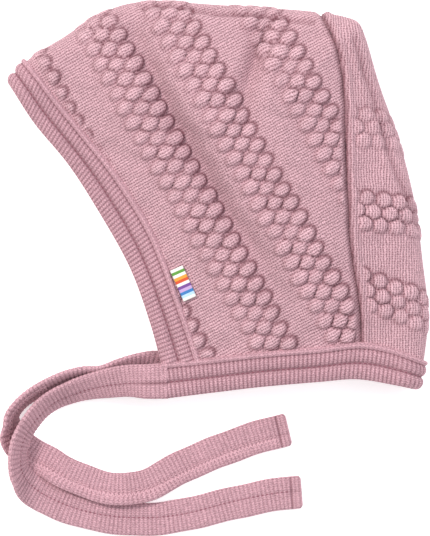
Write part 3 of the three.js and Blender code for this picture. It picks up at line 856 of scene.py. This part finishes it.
# heading: the way a band runs; shear: the crevices between columns lean like the wales
sideBand = {"heading": (0.487, -0.873), "columns": (-1, 0, 1), "rise": 1.0, "shear": 0.35}
sideBands = [
    {**sideBand, "start": (-46.4, 62.1), "seed": 3},
    {**sideBand, "start": (-21.1, 77.6), "seed": 4},
    {**sideBand, "start": (19.8, 73.3), "seed": 5},
    {**sideBand, "start": (-74.8, 55.7), "seed": 6, "columns": (0,)},
]
backBand = {"columns": (-1, 0, 1), "rise": 1.0, "shear": 0.0}
backBands = [
    {**backBand, "start": (66, 28.5), "heading": (0.995, -0.1), "seed": 7, "rise": 0.6},
    {**backBand, "start": (66, -7.2), "heading": (0.99, -0.12), "seed": 8},
    {**backBand, "start": (70, -43.2), "heading": (0.94, -0.35), "seed": 9},
]


def headingAxes(heading):
    ahead = np.array(heading) / np.linalg.norm(heading)
    return ahead, np.array([-ahead[1], ahead[0]])


def bubbleField(cloth, band):
    # height of the puff at each point, 0 to 1, and how far the point is down in a crevice, 0 to 1
    d, side = headingAxes(band["heading"])
    rel = cloth - (np.array(band["start"]) + (ox, oy))
    p, q = rel @ d, rel @ side
    draws = 64
    uneven = np.random.default_rng(band["seed"]).uniform(-1, 1, (3, draws, 3))
    farOff = 99.0
    first, second = np.full(p.shape, farOff), np.full(p.shape, farOff)
    firstColumn, secondColumn = np.zeros(p.shape), np.zeros(p.shape)
    gain = np.ones(p.shape)
    for c in band["columns"]:
        shift = 0.5 if c % 2 else 0.0
        base = np.round(p / bubbles["pitch"] - shift)
        for near in (-1, 0, 1):
            k = base + near
            odd = uneven[c + 1, (k.astype(int) + draws // 2) % draws]
            centre = ((k + shift) * bubbles["pitch"] + 0.4 * odd[..., 0])[..., None] * d
            centre = centre + (c * bubbles["column"] + 0.35 * odd[..., 1])[..., None] * side
            dx, dy = (rel - centre)[..., 0], (rel - centre)[..., 1]
            away = np.sqrt((dx - band["shear"] * dy) ** 2 + dy ** 2) * (1 - 0.05 * odd[..., 2])
            closer = away < first
            secondColumn = np.where(closer, firstColumn, np.where(away < second, c, secondColumn))
            second = np.where(closer, first, np.minimum(second, away))
            firstColumn = np.where(closer, c, firstColumn)
            gain = np.where(closer, 1 + bubbles["gainSpread"] * odd[..., 2], gain)
            first = np.minimum(first, away)
    weight = np.where(firstColumn == secondColumn, 0.6, 1.0)
    between = weight * bell(second - first, bubbles["creviceHalf"])
    between = between * np.clip(1.15 - 0.9 * np.abs(gain - 1) / bubbles["gainSpread"], 0.3, 1)
    dome = np.clip(1 - (first / bubbles["domeReach"]) ** 2, 0, 1) ** 0.7
    puff = gain * dome * smooth((bubbles["reach"] + 0.7 - first) / 2.0) * (1 - 0.7 * between)
    # the groove round a band's edge is deeper on one side (larger q); through the crevice value the panels
    # also paint shade along it, heaviest on that side
    rim = bell(first - bubbles["reach"], 0.7) * (0.3 + 0.7 * smooth((q + 1.5) / 4))
    crevice = np.maximum(between * smooth((4.3 - first) / 0.9), 0.85 * rim * (second > 4.2))
    return puff, crevice


def bandRelief(cloth, bands):
    # highest puff and deepest crevice of all bands at each point
    puff, crevice = np.zeros(cloth.shape[:2]), np.zeros(cloth.shape[:2])
    for band in bands:
        p, c = bubbleField(cloth, band)
        puff, crevice = np.maximum(puff, p * band["rise"]), np.maximum(crevice, c * band["rise"])
    return puff, crevice


def bubbleRise(puff, crevice, clear, w):
    # flatter on the side that lies down
    rested = 0.35 + 0.65 * smooth((w - 0.1) / 0.8)
    return clear * rested * (bubbles["rise"] * puff - bubbles["crevice"] * crevice)


def wales(cloth, heading):
    ahead, side = headingAxes(heading)
    return np.stack([cloth @ ahead, cloth @ side], axis=-1)


# slow random swells keep the cloth from looking moulded
swell = {"seed": 11, "count": 26, "sizes": (9.0, 34.0), "rise": 0.42}


def clothSwell(points):
    rng = np.random.default_rng(swell["seed"])
    total = np.zeros(points.shape[:-1])
    for _ in range(swell["count"]):
        angle, turn = rng.uniform(0, 2 * math.pi, 2)
        size = rng.uniform(*swell["sizes"])
        reach = points[..., 0] * math.cos(angle) + points[..., 1] * math.sin(angle)
        total += np.sin(reach * 2 * math.pi / size + turn)
    return swell["rise"] * total / math.sqrt(swell["count"])


# panel edges, hidden inside the bindings or meeting at the seam
hiddenShare = (shell["bandWidth"] - shell["tuck"]) / shell["bandWidth"]


def hiddenEdge(free, lip):
    fine = 400
    return (1 - hiddenShare) * subLine(free, 0, 1, fine) + hiddenShare * subLine(lip, 0, 1, fine)


neckHidden = hiddenEdge(neckFree, neckLip)
faceHidden = hiddenEdge(faceFree, faceLip)
seamLine = spline(moved["seam"], perSpan=60)
seamCoarse = subLine(seamLine, 0, 1, count=80)
creaseLine = spline(np.array(crownCrease) + (ox, oy), perSpan=12)
backCreaseLine = spline(np.array(backCrease) + (ox, oy), perSpan=12)
seamFoot = crossing(seamLine, neckHidden)
seamTop = crossing(seamLine, foldLine)


def nearestShare(line, point):
    run = lengthsAlong(line)
    return run[np.argmin(np.linalg.norm(line - point, axis=1))] / run[-1]


chinShare = nearestShare(neckHidden, faceHidden[0] + (shell["chinStepBack"], -shell["tuck"]))
pastChin = 1 / 12  # share of the face edge left out, so that the corner stays clean
faceSide = np.vstack([along(neckHidden, chinShare)[None], subLine(faceHidden, pastChin, 1, count=60)])

panel = {
    "width": 128, "height": 148, "step": 0.7, "farStep": 5.0, "foldSteps": 18, "flat": (0.14, 0.32),
    "seamDip": 1.5, "seamDipHalf": 1.6, "creaseDepth": 1.1, "creaseHalf": 0.9,
    "thinnest": 0.4,  # wall kept where the cloth is pressed on the floor
}


def panelWall(name, middle, normal, off, w, cloth, paintedShading):
    outer = settleOnFloor(middle + normal * off[..., None])
    inner = middle - normal * (shell["wall"] / 2)
    lifted = np.maximum(inner[..., 2], outer[..., 2] + panel["thinnest"])
    inner[..., 2] = np.where(w < 0, lifted, inner[..., 2])
    return wallMesh(name, outer, inner, cloth, np.clip(paintedShading, 0.1, 1), bubbleWool)


def mainPanel():
    foldStart = nearestShare(foldLine, faceSide[-1])
    patch = fourSided(
        faceSide, subLine(seamLine, seamFoot[0], seamTop[0]),
        subLine(neckHidden, chinShare, seamFoot[1]), subLine(foldLine, foldStart, seamTop[1]),
    )
    sVals = np.linspace(0, 1, int(panel["width"] / panel["step"]) + 1)
    upperRows = int(panel["height"] / panel["step"])
    lowerRows = int(panel["height"] / panel["farStep"])
    wVals = stations(upperRows, panel["foldSteps"], lowerRows)
    middle, normal, cloth = shellGrid(patch, sVals, wVals)
    plan, w = middle[..., :2], wVals[:, None]
    puff, crevice = bandRelief(cloth, sideBands)
    # no puffs where the cloth goes into a binding or the seam
    edge = np.minimum(distanceTo(faceCoarse, plan), distanceTo(neckCoarse, plan))
    seamAway = distanceTo(seamCoarse, plan)
    clear = smooth((edge - shell["bandWidth"] + 1) / 3) * smooth((seamAway - 1.2) / 2.5)
    rise = bubbleRise(puff, crevice, clear, w)
    dip = panel["seamDip"] * bell(seamAway, panel["seamDipHalf"])
    crease = bell(distanceTo(creaseLine, plan), panel["creaseHalf"]) * (w > 0)
    off = shell["wall"] / 2 + rise - dip + clothSwell(plan) * np.clip(w, 0, 1)
    off = off - panel["creaseDepth"] * crease
    # painted highlight on the puffs; painted shade in the crevices, along the seam, in the crease and in
    # the valleys
    paintedShading = 0.86 + clear * (0.12 * puff - 0.75 * crevice) - 0.5 * bell(seamAway, 1.3) - 0.4 * crease
    paintedShading = paintedShading - 0.02 * np.maximum(valleyDepth(plan), 0) * (w > 0)
    lay = wales(cloth, sideBand["heading"])
    piece = panelWall("side_panel_knit", middle, normal, off, w, lay, paintedShading)
    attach(piece, "root")
    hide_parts("main_panel")


back = {
    "columns": 250, "upper": 48, "fold": 24, "lower": 12, "flat": (0.064, 0.152),
    "seamRoll": 0.9, "rollAt": 2.0, "rollHalf": 1.3, "seamDip": 0.8, "seamDipHalf": 0.9,
    "creaseDepth": 0.9, "creaseHalf": 1.1, "ridge": 0.5, "ridgeAt": 2.2, "ridgeHalf": 1.4,
}


def backPanel():
    startShare = nearestShare(seamLine, np.array(crownSeamStart) + (ox, oy))
    patch = fourSided(
        subLine(neckHidden, seamFoot[1], 1), subLine(seamLine, startShare, seamTop[0]),
        subLine(seamLine, seamFoot[0], startShare),
        subLine(foldLine, nearestShare(foldLine, neckHidden[-1]), seamTop[1]),
    )
    sVals = np.linspace(0, 1, back["columns"])
    wVals = stations(back["upper"], back["fold"], back["lower"])
    middle, normal, cloth = shellGrid(patch, sVals, wVals)
    plan, w = middle[..., :2], wVals[:, None]
    puff, crevice = bandRelief(cloth, backBands)
    seamAway = distanceTo(seamCoarse, plan)
    neckAway = distanceTo(neckCoarse, plan)
    clear = smooth((neckAway - shell["bandWidth"] + 1) / 3) * smooth((seamAway - 2.5) / 2.5)
    rise = bubbleRise(puff, crevice, clear, w)
    roll = back["seamRoll"] * bell(seamAway - back["rollAt"], back["rollHalf"])
    roll = roll - back["seamDip"] * bell(seamAway, back["seamDipHalf"])
    creaseAway = distanceTo(backCreaseLine, plan)
    crease = bell(creaseAway, back["creaseHalf"]) * (w > 0)
    ridge = bell(creaseAway - back["ridgeAt"], back["ridgeHalf"]) * (w > 0.9)
    off = shell["wall"] / 2 + rise + roll - back["creaseDepth"] * crease + back["ridge"] * ridge
    off = off + clothSwell(plan) * np.clip(w, 0, 1)
    # painted highlight on the puffs; painted shade in the crevices, along the seam and in the crease
    paintedShading = 0.86 + clear * (0.12 * puff - 0.72 * crevice) - 0.55 * bell(seamAway, 0.8) - 0.3 * crease
    piece = panelWall("back_panel_knit", middle, normal, off, w, cloth, paintedShading)
    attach(piece, "root")
    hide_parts("back_panel")


mainPanel()
backPanel()
print("panels made")

# Striped tab, a folded ribbon with its edge under the lip of the face binding
tab = {
    "corner": (-20.6, -32.4), "along": (5.9, -13.2), "away": (5.4, 2.4), "thick": 0.9, "gap": 0.48,
    "rows": 30, "columns": 9, "roundFold": (0.72, 0.28),
}


def stripedTab():
    count = tab["columns"]
    a = np.linspace(0, 1, tab["rows"])
    # over the top from the lip to the folded edge, round it and back below
    b = np.concatenate([np.linspace(0, 1, count), np.linspace(1, 0, count)])
    layer = np.concatenate([np.ones(count), np.zeros(count)])
    layer[count - 1], layer[count] = tab["roundFold"]
    corner = np.array(tab["corner"]) + (ox, oy)
    plan = corner + a[:, None, None] * np.array(tab["along"]) + b[None, :, None] * np.array(tab["away"])
    curl = 0.35 * (2 * b - 1) ** 2 + 0.2 * np.sin(a * 5)[:, None]
    z = upperHeight(plan) + shell["wall"] / 2 + tab["gap"] + layer * tab["thick"] + curl * 0.6
    body = np.concatenate([plan, z[..., None]], axis=2)
    uv = np.stack(np.broadcast_arrays(a[:, None], b[None]), axis=-1)
    piece = ringMesh("striped_tab", body, uv, np.ones(body.shape[:2]), ribbonCloth)
    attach(piece, "root")
    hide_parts("label_tab")


stripedTab()
print("tab made")
